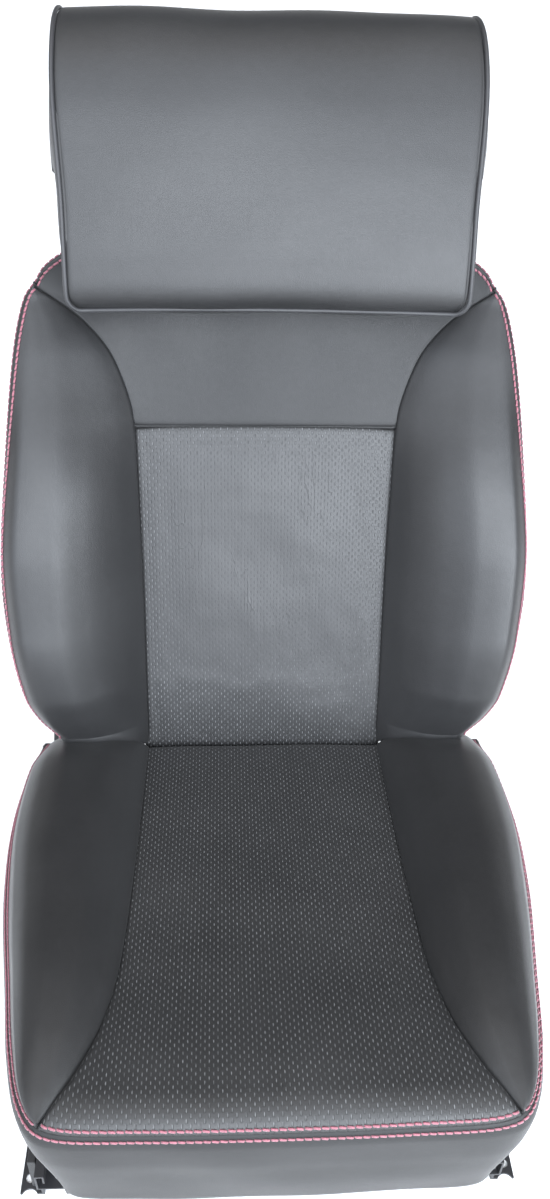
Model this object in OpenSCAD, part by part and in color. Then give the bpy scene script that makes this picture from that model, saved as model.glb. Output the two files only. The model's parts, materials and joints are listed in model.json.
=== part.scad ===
// Reclining front seat for a car, on sliding rails, with an adjustable headrest.
// Origin: centre of the four floor bolts, on the floor. The seat faces -Y and +Z is up.
// "left" and "right" are the sitter's own: left is +X.

/* [Rails] */
// Distance of each rail's centre from the middle of the seat
rail_x = 222; // [216:1:224]
// Length of the lower rails
rail_len = 450; // [440:5:460]
// Length of the upper rails
upper_rail_len = 330; // [320:5:340]
// Height of the underside of the lower rails
rail_z = 32; // [30:1:34]
// Distance of each floor bolt from the middle of the seat
bolt_x = 258; // [256:1:259]
// Distance of each floor bolt in front of or behind the middle
bolt_y = 200; // [196:1:202]
// Diameter of the floor bolt holes
bolt_hole_d = 10.5; // [8.5:0.5:12.5]

/* [Seat] */
// Rest angle of the backrest from upright
recline = 20; // [19:0.5:21]
// Slope of the cushion, rising to the front
cushion_tilt = 4.8; // [4:0.2:5]
// Depth of the cushion from the backrest to its front lip
cushion_len = 489; // [484:1:492]
// Depth of the skirt below the front lip
skirt_h = 116; // [108:1:118]
// Height of the cushion's side bolsters above its middle
cushion_bolster_h = 38; // [30:1:40]
// Height of the backrest's side bolsters above its middle
back_bolster_h = 90; // [80:1:92]

/* [Headrest] */
// Width of the headrest
headrest_w = 410; // [400:2:412]
// Diameter of the headrest posts
post_d = 12; // [10:1:12]
// Distance between the headrest posts
post_gap = 150; // [140:2:156]

/* [Details] */
// Thickness of the leather and its backing on the panels
cover_t = 14; // [12:1:15]
// Diameter of the recliner discs
recliner_d = 72; // [66:1:74]

/* [Hidden] */
$fn = 48;
eps = 0.1;
steel = 3;
sheet = 2.2;

bight = [0, 185, 270];
pivot = [0, 250, 225];
cushion_clear_r = 82;

rail_half_w = 23;
rail_h = 28;
ball_r = 3.35;
ball_x = 17;
ball_z = rail_z + 5.85;
upper_top_z = rail_z + 38.4;

frame_in = 226;
back_frame_in = 211;
tube_r = 12.7;
front_tube = [0, -150, 148];
rear_tube = [0, 165, 170];

release_pivot = [0, 20, 92];
release_front_y = -240;
release_x = 190;
release_r = 5;

shaft_r = 5.5;
shaft_gap = 0.08;
post_r = post_d / 2;
post_gap_r = 0.1;
post_y = 50;
guide_r = 10;
guide_z = [500, 600];
headrest_under = 613;

leather = [0.16, 0.16, 0.17];
foam = [0.75, 0.72, 0.62];
black_steel = [0.12, 0.12, 0.13];
zinc = [0.62, 0.63, 0.65];
plastic = [0.1, 0.1, 0.1];

// ---------- helpers ----------

// Draws the child on the left (side = 1) or mirrored on the right (side = -1)
module on_side(side) { mirror([side < 0 ? 1 : 0, 0, 0]) children(); }

module both_sides() { for (side = [-1, 1]) on_side(side) children(); }

// Cylinder along X
module bar_x(r, from_x, to_x, at = [0, 0, 0]) {
    translate([from_x, at.y, at.z]) rotate([0, 90, 0]) cylinder(r = r, h = to_x - from_x);
}

// Solid with a Y-Z outline, between two X positions
module plate_x(from_x, to_x) {
    translate([from_x, 0, 0]) rotate([90, 0, 90]) linear_extrude(to_x - from_x) children();
}

// Solid with an X-Z outline, between two Y positions
module plate_y(from_y, to_y) {
    translate([0, to_y, 0]) rotate([90, 0, 0]) linear_extrude(to_y - from_y) children();
}

// Backrest frame: origin at the bight, z up along the backrest, y towards its rear
module in_back() { translate(bight) rotate([-recline, 0, 0]) children(); }

// Cushion frame: origin at the bight, -y towards the front lip, z out of the cushion
module in_cushion() { translate(bight) rotate([-cushion_tilt, 0, 0]) children(); }

// A right-hand outline and its mirror image joined into one closed outline
module mirrored_outline(points) {
    flipped = [for (i = [len(points) - 1:-1:0]) [-points[i].x, points[i].y]];
    polygon(concat(points, flipped));
}

// Height in the seat's own frame of a point z above the cushion plane, at a given y
function cushion_z(y, z) = bight.z + (bight.y - y) * tan(cushion_tilt) + z / cos(cushion_tilt);

// Moves each point of an outline inwards in X, and back from the front lip
function inset(points, by, by_front) = [for (p = points)
    [max(p.x - by, 0), p.y < -0.9 * cushion_len ? p.y + by_front : p.y]];

function unit(v) = v / norm(v);

function ring(at, along, up, r, sides) =
    let (n = unit(cross(along, up)), m = cross(n, along))
    [for (k = [0:sides - 1]) at + r * cos(360 * k / sides) * n + r * sin(360 * k / sides) * m];

// Solid tube through a list of points. ups holds a direction across the tube at each point
module tube(pts, ups, r, sides) {
    last = len(pts) - 1;
    rings = [for (i = [0:last])
        ring(pts[i], unit(pts[min(i + 1, last)] - pts[max(i - 1, 0)]), ups[i], r, sides)];
    faces = concat(
        [[for (k = [sides - 1:-1:0]) k]],
        [[for (k = [0:sides - 1]) last * sides + k]],
        [for (i = [0:last - 1], k = [0:sides - 1])
            [i * sides + k, i * sides + (k + 1) % sides,
                (i + 1) * sides + (k + 1) % sides, (i + 1) * sides + k]]);
    polyhedron([for (r = rings) each r], faces, convexity = 4);
}

// ---------- rails ----------

module lower_rail_outline() {
    translate([-rail_half_w, 0]) square([2 * rail_half_w, sheet]);
    for (s = [0, 1]) mirror([s, 0]) {
        translate([rail_half_w - sheet, 0]) square([sheet, rail_h]);
        translate([13, rail_h - sheet]) square([rail_half_w - 13, sheet]);
        translate([13, rail_h / 2]) square([sheet, rail_h / 2]);
    }
}

module lower_rail() {
    color(black_steel) difference() {
        translate([rail_x, 0, rail_z]) plate_y(-rail_len / 2, rail_len / 2) lower_rail_outline();
        for (i = [-9:9])
            translate([rail_x - 20.5, 12 * i - 34, rail_z + rail_h - sheet - 1])
                cube([5, 7, sheet + 2]);
        for (p = rivet_places)
            translate([rail_x, p, rail_z - 1]) cylinder(r = 4.1, h = sheet + 2);
    }
}

rivet_places = [-210, -170, 170, 210];

module upper_rail_outline() {
    for (s = [0, 1]) mirror([s, 0]) {
        translate([8.6, 9.5]) square([sheet, 28.9]);
        translate([8.6, 9.5]) square([10.5, sheet]);
        translate([16.9, 9.5]) square([sheet, 12.5]);
    }
    translate([-10.8, 36.2]) square([21.6, sheet]);
}

module upper_rail() {
    color(zinc) difference() {
        translate([rail_x, 0, rail_z])
            plate_y(-upper_rail_len / 2, upper_rail_len / 2) upper_rail_outline();
        for (y = frame_bolt_places)
            translate([frame_bolt_x, y, upper_top_z - 6]) cylinder(r = 4.2, h = 12);
    }
}

frame_bolt_places = [-140, 0, 140];
frame_bolt_x = rail_x - 4;

// Strip of each ball cage, with a hole for each ball
ball_places = [-100, -60, 60, 100];

module ball_cages() {
    color(plastic) both_sides() for (x = [-ball_x, ball_x]) difference() {
        translate([rail_x + x - 3.6, -112, ball_z - 0.8]) cube([7.2, 224, 1.6]);
        for (y = ball_places)
            translate([rail_x + x, y, ball_z - 2]) cylinder(r = ball_r + 0.1, h = 4);
    }
    color(plastic) both_sides() translate([rail_x - 14, -4, ball_z - 0.8]) cube([28, 8, 1.6]);
}

module rail_balls() {
    color(zinc) both_sides() for (x = [-ball_x, ball_x], y = ball_places)
        translate([rail_x + x, y, ball_z]) sphere(r = ball_r);
}

// Stamped foot under a rail end. dir is -1 at the front and 1 at the rear
module foot(dir) {
    y_in = dir * 148;
    y_out = dir < 0 ? -216 : 226;
    y0 = min(y_in, y_out);
    len_y = abs(y_out - y_in);
    top = rail_z;
    difference() {
        union() {
            translate([rail_x - 19, y0, top - steel]) cube([41, len_y, steel]);
            translate([rail_x - 19, y0, 0]) cube([steel, len_y, top]);
            translate([rail_x - 33, y0, 0]) cube([17, len_y, steel]);
            translate([rail_x + 19, y0, 0]) cube([steel, len_y, top]);
            translate([rail_x + 19, y0, 0]) cube([267 - rail_x - 19, len_y, steel]);
        }
        translate([bolt_x, dir * bolt_y, -1]) cylinder(d = bolt_hole_d, h = steel + 2);
        translate([rail_x + 35, y_out + dir * 4, -1]) cylinder(r = 9, h = steel + 2);
        for (p = rivet_places)
            translate([rail_x, p, top - steel - 1]) cylinder(r = 4.1, h = steel + 2);
    }
}

// Locating tongue bent down in front of each front foot
module foot_tongue() {
    translate([rail_x - 15, -219, rail_z - steel]) cube([13, 5, steel]);
    translate([0, -219, 0]) plate_y(0, steel)
        polygon([[rail_x - 15, rail_z], [rail_x - 2, rail_z], [rail_x - 5, 6], [rail_x - 12, 6]]);
}

module front_foot() { color(black_steel) union() { foot(-1); foot_tongue(); } }

module rear_foot() { color(black_steel) foot(1); }

module rail_rivets() {
    color(zinc) both_sides() for (p = rivet_places) translate([rail_x, p, 0]) {
        translate([0, 0, rail_z - steel]) cylinder(r = 4, h = steel + sheet);
        translate([0, 0, rail_z + sheet]) cylinder(r = 6.5, h = 2);
        translate([0, 0, rail_z - steel - 2]) cylinder(r = 6.5, h = 2);
    }
}

// Open plastic guard on the rear end of each lower rail
module rail_end_caps() {
    color(plastic) both_sides() translate([rail_x, rail_len / 2, rail_z]) difference() {
        translate([-25.5, 0, 0.3]) cube([51, 5, rail_h + 1.7]);
        translate([-20.3, -1, 7]) cube([40.6, 7, rail_h]);
    }
}

// Black plastic trim beside the front end of the right rail
module foot_cover() {
    color(plastic) on_side(-1) difference() {
        translate([rail_x + 24.5, -209, steel + 0.2]) cube([8, 60, 54]);
        translate([rail_x + 23, -207, steel - 1]) cube([7.5, 56, 53.2]);
        translate([rail_x + 23, -190, 57.5]) rotate([-28, 0, 0]) cube([12, 60, 30]);
    }
}

// ---------- cushion carrier ----------

frame_top = -78.3;
frame_front = -180;
side_frame_side = [[frame_front, upper_top_z + steel], [frame_front, cushion_z(frame_front, frame_top)],
    [190, cushion_z(190, frame_top)], [pivot.y - 36, pivot.z - 10],
    [pivot.y + 36, pivot.z - 10], [282, 150], [255, upper_top_z + steel]];

module side_frame() {
    color(black_steel) difference() {
        union() {
            plate_x(frame_in, frame_in + steel) polygon(side_frame_side);
            bar_x(recliner_d / 2, frame_in, frame_in + steel, pivot);
            translate([rail_x - 11, -165, upper_top_z])
                cube([frame_in + steel - rail_x + 11, 420, steel + eps]);
        }
        bar_x(shaft_r + 3, frame_in - 1, frame_in + steel + 1, pivot);
        bar_x(tube_r + 0.1, frame_in - 1, frame_in + steel + 1, front_tube);
        bar_x(tube_r + 0.1, frame_in - 1, frame_in + steel + 1, rear_tube);
        for (y = [-85, -20, 45, 110]) bar_x(20, frame_in - 1, frame_in + steel + 1, [0, y, 138]);
        for (y = frame_bolt_places)
            translate([frame_bolt_x, y, upper_top_z - 1]) cylinder(r = 4.2, h = steel + 3);
    }
}

module cross_tube(at) {
    color(black_steel) difference() {
        bar_x(tube_r, -frame_in - steel, frame_in + steel, at);
        bar_x(tube_r - 1.6, -frame_in - steel - 1, frame_in + steel + 1, at);
    }
}

module front_cross_tube() { cross_tube(front_tube); }

module rear_cross_tube() { cross_tube(rear_tube); }

// Stamped steel pan under the front half of the cushion
pan_w = 380;
pan_front = -448;
pan_rear = -235;
pan_under = -78;

module cushion_pan() {
    color(black_steel) in_cushion() difference() {
        union() {
            translate([-pan_w / 2, pan_front, pan_under]) cube([pan_w, pan_rear - pan_front, 2]);
            translate([-pan_w / 2, pan_front, pan_under - 18]) cube([pan_w, 2, 18 + eps]);
            translate([-pan_w / 2, pan_rear - 2, pan_under - 12]) cube([pan_w, 2, 12 + eps]);
            for (s = [0, 1]) mirror([s, 0, 0])
                translate([pan_w / 2 - eps, pan_front + 115, pan_under]) cube([38, 85, 2]);
        }
        for (x = [-110, 0, 110]) translate([x, -350, pan_under - 1]) cylinder(r = 28, h = 4);
    }
}

// Sinuous wire springs from the pan to the rear tube
spring_r = 1.7;
spring_amp = 17;
spring_from = [-46, cushion_z(-46, -81)];
spring_to = [rear_tube.y, rear_tube.z + tube_r + 2];
spring_waves = 5;
spring_steps = 45;

function spring_path(t) = [spring_amp * sin(360 * spring_waves * t),
    spring_from.x + (spring_to.x - spring_from.x) * t,
    spring_from.y + (spring_to.y - spring_from.y) * t];

module sinuous_spring() {
    pts = [for (i = [0:spring_steps]) spring_path(i / spring_steps)];
    tube(pts, [for (p = pts) [0, 0, 1]], spring_r, 6);
}

module cushion_springs() {
    color(zinc) for (x = [-120, -40, 40, 120]) translate([x, 0, 0]) sinuous_spring();
}

// Half outline of the cushion, from the rear to the middle of the front lip
cushion_side = [[263, -6], [278, -48], [283, -130], [273, -230], [253, -335], [239, -405],
    [223, -455], [208, -476], [190, -484], [110, -488], [0, -cushion_len]];

// Half outline of the perforated middle panel, flaring out to the front corners
insert_side = [[140, -4], [142, -150], [147, -308], [158, -385], [177, -438], [198, -474]];

module cushion_rear_cut() {
    bar_x(cushion_clear_r, -320, 320, pivot);
    translate([-320, pivot.y, 90]) cube([640, 80, 300]);
}

module cushion_foam() {
    color(foam) difference() {
        in_cushion() translate([0, 0, -75]) linear_extrude(75 - cover_t - 0.5)
            mirrored_outline(inset(cushion_side, 15, 15));
        cushion_rear_cut();
    }
}

module cushion_insert_cover() {
    color(leather) difference() {
        in_cushion() translate([0, 0, -cover_t]) linear_extrude(cover_t)
            mirrored_outline(concat([for (p = insert_side) [p.x - 1.3, p.y]],
                [[188, -483.5], [110, -487], [0, -cushion_len + 0.5]]));
        cushion_rear_cut();
    }
}

// Each station: [y, inner x, outer x, height of the crest]
cushion_bolster_stations = [[-10, 141.4, 263, 26], [-62, 141.7, 280, 36],
    [-130, 142.2, 283, cushion_bolster_h], [-230, 144.5, 274, cushion_bolster_h],
    [-335, 151, 254, cushion_bolster_h - 4], [-405, 164, 238, 26], [-455, 187, 222, 12],
    [-474, 199, 208, 2]];

module cushion_bolster_slice(st) {
    w = st[2] - st[1];
    h = st[3];
    translate([0, st[0], 0]) plate_y(0, 0.5)
        polygon([[st[1], -cover_t], [st[1], 0], [st[1] + 0.15 * w, 0.55 * h],
            [st[1] + 0.38 * w, 0.95 * h], [st[1] + 0.6 * w, h], [st[1] + 0.82 * w, 0.8 * h],
            [st[2], 0.2 * h], [st[2], -cover_t]]);
}

module cushion_bolster() {
    color(leather) in_cushion() hull()
        for (st = cushion_bolster_stations) cushion_bolster_slice(st);
}

// Leather band round the front and sides, below the double-stitched seam.
// Each layer: [bottom, top, outer inset, outer inset at the front, wall]
skirt_rear = -78;
skirt_layers = [[-45, -cover_t - 0.5, 2, 2, 12.5], [-80, -44.9, 8, 3, 6.5],
    [-skirt_h, -79.9, 22, 4, 6]];

module cushion_skirt() {
    color(leather) difference() {
        in_cushion() for (l = skirt_layers) translate([0, 0, l[0]]) difference() {
            linear_extrude(l[1] - l[0]) mirrored_outline(inset(cushion_side, l[2], l[3]));
            translate([0, 0, -1]) linear_extrude(l[1] - l[0] + 2)
                mirrored_outline(inset(cushion_side, l[2] + l[4], max(l[3] + l[4], 14.5)));
        }
        bar_x(cushion_clear_r + 14, -320, 320, pivot);
        translate([-320, pivot.y - 60, 90]) cube([640, 140, 300]);
        in_cushion() plate_x(-320, 320) polygon([[-466, -skirt_h - 1], [-466, -105],
            [-430, skirt_rear], [60, skirt_rear], [60, -skirt_h - 1]]);
    }
}

// Plastic side cover between the cushion and the rail
module side_valance() {
    top = skirt_rear - 5;
    color(plastic) plate_x(248, 251) polygon([[-60, 62], [-66, 100],
        [-160, 150], [-130, 170], [-60, cushion_z(-60, top)], [180, cushion_z(180, top)],
        [200, 150], [205, 90], [195, 62]]);
    color(plastic) for (y = [-120, 130])
        bar_x(4, frame_in + steel, 248.5, [0, y, 140]);
}

// ---------- recliner ----------

module recliner_outer_disc() {
    color(zinc) difference() {
        bar_x(recliner_d / 2, 220.3, frame_in, pivot);
        bar_x(shaft_r + shaft_gap, 219, 228, pivot);
    }
}

module recliner_inner_disc() {
    color(zinc) difference() {
        bar_x(recliner_d / 2 - 2, back_frame_in + steel, 220, pivot);
        bar_x(shaft_r + shaft_gap, 210, 222, pivot);
    }
}

spiral_turns = 3;
spiral_in = 10;
spiral_pitch = 6;
spiral_t = 2;

function spiral_points(shift) = [for (a = [0:15:360 * spiral_turns])
    let (r = spiral_in + spiral_pitch * a / 360 + shift) [r * cos(a), r * sin(a)]];

// Flat coil spring that brings the backrest forward
module recliner_spring() {
    outer = spiral_points(spiral_t);
    inner = spiral_points(0);
    color(zinc) translate([231, pivot.y, pivot.z]) rotate([90, 0, 90]) linear_extrude(6)
        polygon(concat(outer, [for (i = [len(inner) - 1:-1:0]) inner[i]]));
}

module recliner_cover() {
    color(plastic) difference() {
        bar_x(38, frame_in + steel, 243, pivot);
        bar_x(35, frame_in + steel - 1, 240, pivot);
    }
}

module bolt_down(z) {
    translate([0, 0, z - 9]) cylinder(r = 4, h = 9);
    translate([0, 0, z]) cylinder(r = 7.5, h = 5, $fn = 6);
}

module frame_bolts() {
    color(zinc) both_sides() for (y = frame_bolt_places)
        translate([frame_bolt_x, y, 0]) bolt_down(upper_top_z + steel + eps);
}

lever_drop = 42;
lever_len = 128;

module recline_lever() {
    color(plastic) on_side(-1) translate([0, pivot.y, pivot.z]) difference() {
        union() {
            bar_x(20, 233, 257);
            bar_x(22, 254, 266);
            rotate([lever_drop, 0, 0]) translate([254, -lever_len, -8.5]) cube([12, lever_len, 17]);
            rotate([lever_drop, 0, 0]) bar_x(9.5, 254, 266, [0, -lever_len, 0]);
        }
        bar_x(shaft_r, 230, 258);
    }
}

module recliner_sync_shaft() {
    color(zinc) bar_x(shaft_r, -258, 229.5, pivot);
}

// ---------- track release ----------

module track_release_bar() {
    bend = 20;
    back_y = release_pivot.y + 14;
    color(black_steel) translate([0, 0, release_pivot.z]) {
        both_sides() {
            translate([release_x, release_front_y + bend, 0]) rotate([-90, 0, 0])
                cylinder(r = release_r, h = back_y - release_front_y - bend);
            translate([release_x - bend, release_front_y + bend, 0])
                rotate([0, 0, -90]) rotate_extrude(angle = 90)
                translate([bend, 0]) circle(r = release_r);
        }
        bar_x(release_r, -release_x + bend, release_x - bend, [0, release_front_y, 0]);
        both_sides() bar_x(4, release_x, 207, [0, release_pivot.y, 0]);
    }
}

// Hinge ears of the release bar, welded to the side frames
module release_bar_brackets() {
    color(black_steel) both_sides() difference() {
        union() {
            plate_x(203, 206) polygon([[release_pivot.y - 12, upper_top_z + 6],
                [release_pivot.y + 12, upper_top_z + 6], [release_pivot.y + 12, 106],
                [release_pivot.y - 12, 106]]);
            translate([203, release_pivot.y - 12, 103]) cube([23, 24, steel]);
        }
        bar_x(4 + shaft_gap, 202, 207, release_pivot);
    }
}

latch_teeth = [-58, -46, -34];

module latch_plates() {
    under = rail_z + rail_h + 0.7;
    color(zinc) both_sides() {
        translate([rail_x - 19.5, -62, under + 9]) cube([3, 36, 8]);
        for (y = latch_teeth) translate([rail_x - 19.5, y - 2.5, under]) cube([3, 5, 10]);
        translate([release_x - 2, -50, release_pivot.z + 4]) cube([rail_x - release_x - 14.5, 12, steel]);
        translate([rail_x - 19.5, -50, under + 16]) cube([3, 12, release_pivot.z + 7 - under - 16]);
    }
}

// ---------- backrest ----------

back_frame_side = [[58, 0], [60, 250], [62, 520], [66, 545], [92, 545], [96, 520], [98, 250],
    [104, 20]];

module back_side_frame() {
    color(black_steel) difference() {
        union() {
            in_back() plate_x(back_frame_in, back_frame_in + steel) polygon(back_frame_side);
            bar_x(recliner_d / 2 - 2, back_frame_in, back_frame_in + steel, pivot);
            in_back() translate([back_frame_in - 12, 58, 60]) cube([12 + eps, sheet, 460]);
        }
        bar_x(shaft_r + 3, back_frame_in - 1, back_frame_in + steel + 1, pivot);
        for (z = [120:80:440])
            in_back() bar_x(11, back_frame_in - 1, back_frame_in + steel + 1, [0, 80, z]);
    }
}

top_tube_at = [0, 73.5, 530];

module back_top_tube() {
    color(black_steel) in_back() difference() {
        bar_x(11, -back_frame_in, back_frame_in, top_tube_at);
        bar_x(9.4, -back_frame_in - 1, back_frame_in + 1, top_tube_at);
    }
}

module back_lower_crossmember() {
    color(black_steel) in_back() difference() {
        translate([-back_frame_in, 88, 8]) cube([2 * back_frame_in, 12, 60]);
        translate([-back_frame_in - 1, 90, 10]) cube([2 * back_frame_in + 2, 12, 56]);
    }
}

module lumbar_wires() {
    color(zinc) in_back() for (z = [110:55:440])
        bar_x(1.8, -back_frame_in, back_frame_in, [0, 68, z]);
}

// Half outline of the plain panel above the perforated middle, following its seams
yoke_side = [[0, 391], [147, 391], [149, 408], [157, 437], [171, 470], [193, 498],
    [214, 516], [245, 536], [247, 541], [238, 556], [217, 571], [180, 584], [110, 594], [0, 598]];

module guide_holes(extra) {
    for (side = [-1, 1]) translate([side * post_gap / 2, post_y, 430])
        cylinder(r = guide_r + extra, h = 200);
}

module back_foam() {
    color(foam) in_back() difference() {
        union() {
            translate([-139, cover_t + 0.5, -5]) cube([278, 56 - cover_t, 396]);
            translate([-205, 26, -5]) cube([410, 30, 40.5]);
            plate_y(10.5, 56.5) mirrored_outline([for (p = yoke_side)
                [max(p.x - 4, 0), min(p.y, 590)]]);
        }
        guide_holes(3.5);
    }
}

module back_insert_cover() {
    color(leather) in_back() plate_y(0, cover_t)
        mirrored_outline([[139, -15], [139.5, 60], [141, 200], [145.5, 387], [100, 389.5],
            [0, 390.5]]);
}

module back_yoke_cover() {
    color(leather) in_back() difference() {
        union() {
            plate_y(-8, 10) mirrored_outline(yoke_side);
            plate_y(9.5, 58) difference() {
                mirrored_outline([for (p = yoke_side) if (p.y > 531 || p.x == 0) p]);
                mirrored_outline([for (p = yoke_side)
                    if (p.y > 531 || p.x == 0) [max(p.x - 4, 0), min(p.y, 590.5)]]);
                translate([-300, 300]) square([600, 245]);
            }
        }
        guide_holes(0.5);
    }
}

// Each station: [z, inner x, outer x, height of the crest]
back_bolster_stations = [[36, 141, 255, 54], [90, 141.2, 277, 80],
    [165, 141.8, 288, back_bolster_h], [243, 142.8, 290, back_bolster_h],
    [368, 147.3, 280, 68], [465, 170.5, 271, 38], [508, 207, 263, 20], [533, 242, 253, 10]];

module back_bolster_slice(st) {
    w = st[2] - st[1];
    h = st[3];
    translate([0, 0, st[0]]) linear_extrude(0.5) mirror([0, 1])
        polygon([[st[1], -56], [st[1], 0], [st[1] + 0.2 * w, 0.5 * h],
            [st[1] + 0.42 * w, 0.9 * h], [st[1] + 0.62 * w, h], [st[1] + 0.85 * w, 0.93 * h],
            [st[2], 0.7 * h], [st[2], 0], [st[2] - 0.12 * w, -56]]);
}

module back_bolster() {
    color(leather) in_back() hull()
        for (st = back_bolster_stations) back_bolster_slice(st);
}

rear_side = [[230, 22], [246, 45], [256, 110], [260, 260], [256, 400], [246, 500],
    [222, 560], [180, 583], [110, 593], [0, 596]];

function inset_x(points, by) = [for (p = points)
    [max(p.x - by, 0), p.y > 550 ? p.y - by : p.y]];

// Moulded rear shell with side returns
module back_rear_panel() {
    color(plastic) in_back() difference() {
        plate_y(60, 122) mirrored_outline(rear_side);
        plate_y(59, 119) mirrored_outline(inset_x(rear_side, 3));
        plate_y(59, 119) translate([-225, 0]) square([450, 60]);
        translate([-300, 59, 10]) cube([600, 28, 45]);
    }
}

module headrest_sockets() {
    color(black_steel) in_back() for (side = [-1, 1])
        translate([side * post_gap / 2, post_y, 505]) difference() {
            cylinder(r = 13, h = 50);
            translate([0, 0, -1]) cylinder(r = guide_r, h = 52);
        }
}

module headrest_guide() {
    color(plastic) in_back() translate([post_gap / 2, post_y, 0]) difference() {
        union() {
            translate([0, 0, guide_z[0]]) cylinder(r = guide_r, h = guide_z[1] - guide_z[0]);
            translate([-14, -12, guide_z[1] - 1]) cube([28, 24, 9]);
        }
        translate([0, 0, guide_z[0] - 1]) cylinder(r = post_r + post_gap_r, h = 120);
        translate([8.5, -5.5, guide_z[1] + 0.5]) cube([8, 11, 6]);
    }
}

module headrest_release_button() {
    color(plastic) in_back() translate([post_gap / 2 + 12.5, post_y - 5, guide_z[1] + 1])
        cube([6, 10, 5]);
}

// ---------- headrest ----------

crossbar_z = 700;

module headrest_posts() {
    x = post_gap / 2;
    color("silver") in_back() translate([0, post_y, 0]) {
        for (side = [-1, 1]) translate([side * x, 0, 440]) cylinder(r = post_r, h = crossbar_z - 440);
        for (side = [-1, 1]) translate([side * x, 0, crossbar_z]) sphere(r = post_r);
        bar_x(post_r, -x, x, [0, 0, crossbar_z]);
    }
}

module headrest_core() {
    x = post_gap / 2;
    color(plastic) in_back() difference() {
        translate([-125, 18, 630]) cube([250, 50, 110]);
        for (side = [-1, 1]) translate([side * x, post_y, 620]) cylinder(r = post_r + 0.05, h = 80);
        for (side = [-1, 1]) translate([side * x, post_y, crossbar_z]) sphere(r = post_r + 0.05);
        bar_x(post_r + 0.05, -x, x, [0, post_y, crossbar_z]);
    }
}

// Side view of the headrest: a front panel with a lip that hangs over the backrest
headrest_side = [[-58, 516], [-70, 528], [-75, 560], [-75, 660], [-68, 715], [-53, 757],
    [-29, 786], [5, 802], [40, 804], [68, 790], [84, 760], [89, 715], [86, 650], [77, headrest_under],
    [-8, headrest_under], [-18, 604], [-22, 545], [-28, 522], [-42, 513]];

headrest_inner = [[-56, 526], [-67, 560], [-67, 658], [-60, 710], [-46, 750], [-24, 776],
    [6, 793], [38, 795], [62, 783], [76, 755], [81, 713], [78, 655], [70, headrest_under + 7],
    [-14, headrest_under + 7], [-25, 608], [-29, 550], [-36, 527]];

headrest_half = headrest_w / 2;
gusset_t = 7;

module headrest_foam() {
    color(foam) in_back() difference() {
        plate_x(-headrest_half + gusset_t + 0.3, headrest_half - gusset_t - 0.3)
            polygon(headrest_inner);
        translate([-125.3, 17.7, 629.7]) cube([250.6, 50.6, 110.6]);
        for (side = [-1, 1])
            translate([side * post_gap / 2, post_y, 600]) cylinder(r = post_r + 0.5, h = 60);
    }
}

module headrest_cover() {
    color(leather) in_back() difference() {
        plate_x(-headrest_half + gusset_t, headrest_half - gusset_t) polygon(headrest_side);
        plate_x(-headrest_half, headrest_half) polygon(headrest_inner);
        for (side = [-1, 1])
            translate([side * post_gap / 2, post_y, 600]) cylinder(r = post_r + 1.5, h = 40);
    }
}

// Side panel with a raised middle
module headrest_gusset() {
    middle = [6, 665];
    color(leather) in_back() union() {
        plate_x(headrest_half - gusset_t, headrest_half) polygon(headrest_side);
        plate_x(headrest_half - eps, headrest_half + 4)
            polygon([for (p = headrest_inner) if (p.y > 620) middle + 0.85 * (p - middle)]);
    }
}

piping_r = 2.5;
piping_corner = 16;

// Half of the piping's path: down a gusset's edge and round the lip's lower corner
piping_half = concat([for (i = [11:-1:1]) [headrest_half, headrest_side[i].x, headrest_side[i].y]],
    [[headrest_half - piping_corner / 3, headrest_side[0].x - 5, headrest_side[0].y + 3],
        [headrest_half - piping_corner, headrest_side[0].x, headrest_side[0].y]]);
headrest_middle = [0, 10, 650];

module headrest_piping() {
    other = [for (i = [len(piping_half) - 1:-1:0])
        [-piping_half[i].x, piping_half[i].y, piping_half[i].z]];
    pts = concat(piping_half, other);
    color(leather) in_back() tube(pts, [for (p = pts) p - headrest_middle], piping_r, 8);
}

// ---------- parts ----------

on_side(1) lower_rail();  // lower_rail_left
on_side(-1) lower_rail();  // lower_rail_right
on_side(1) front_foot();  // front_foot_left
on_side(-1) front_foot();  // front_foot_right
on_side(1) rear_foot();  // rear_foot_left
on_side(-1) rear_foot();  // rear_foot_right
rail_rivets();
rail_end_caps();
foot_cover();
ball_cages();
rail_balls();
on_side(1) upper_rail();  // upper_rail_left
on_side(-1) upper_rail();  // upper_rail_right
on_side(1) side_frame();  // side_frame_left
on_side(-1) side_frame();  // side_frame_right
front_cross_tube();
rear_cross_tube();
cushion_pan();
cushion_springs();
cushion_foam();
cushion_insert_cover();
on_side(1) cushion_bolster();  // cushion_bolster_left
on_side(-1) cushion_bolster();  // cushion_bolster_right
cushion_skirt();
on_side(1) side_valance();  // side_valance_left
on_side(-1) side_valance();  // side_valance_right
on_side(1) recliner_outer_disc();  // recliner_outer_disc_left
on_side(-1) recliner_outer_disc();  // recliner_outer_disc_right
recliner_spring();
recliner_cover();
frame_bolts();
release_bar_brackets();
track_release_bar();
latch_plates();
recline_lever();
recliner_sync_shaft();
on_side(1) back_side_frame();  // back_side_frame_left
on_side(-1) back_side_frame();  // back_side_frame_right
back_top_tube();
back_lower_crossmember();
on_side(1) recliner_inner_disc();  // recliner_inner_disc_left
on_side(-1) recliner_inner_disc();  // recliner_inner_disc_right
lumbar_wires();
back_foam();
back_insert_cover();
back_yoke_cover();
on_side(1) back_bolster();  // back_bolster_left
on_side(-1) back_bolster();  // back_bolster_right
back_rear_panel();
headrest_sockets();
on_side(1) headrest_guide();  // headrest_guide_left
on_side(-1) headrest_guide();  // headrest_guide_right
headrest_release_button();
headrest_posts();
headrest_core();
headrest_foam();
headrest_cover();
on_side(1) headrest_gusset();  // headrest_gusset_left
on_side(-1) headrest_gusset();  // headrest_gusset_right
headrest_piping();
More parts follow.
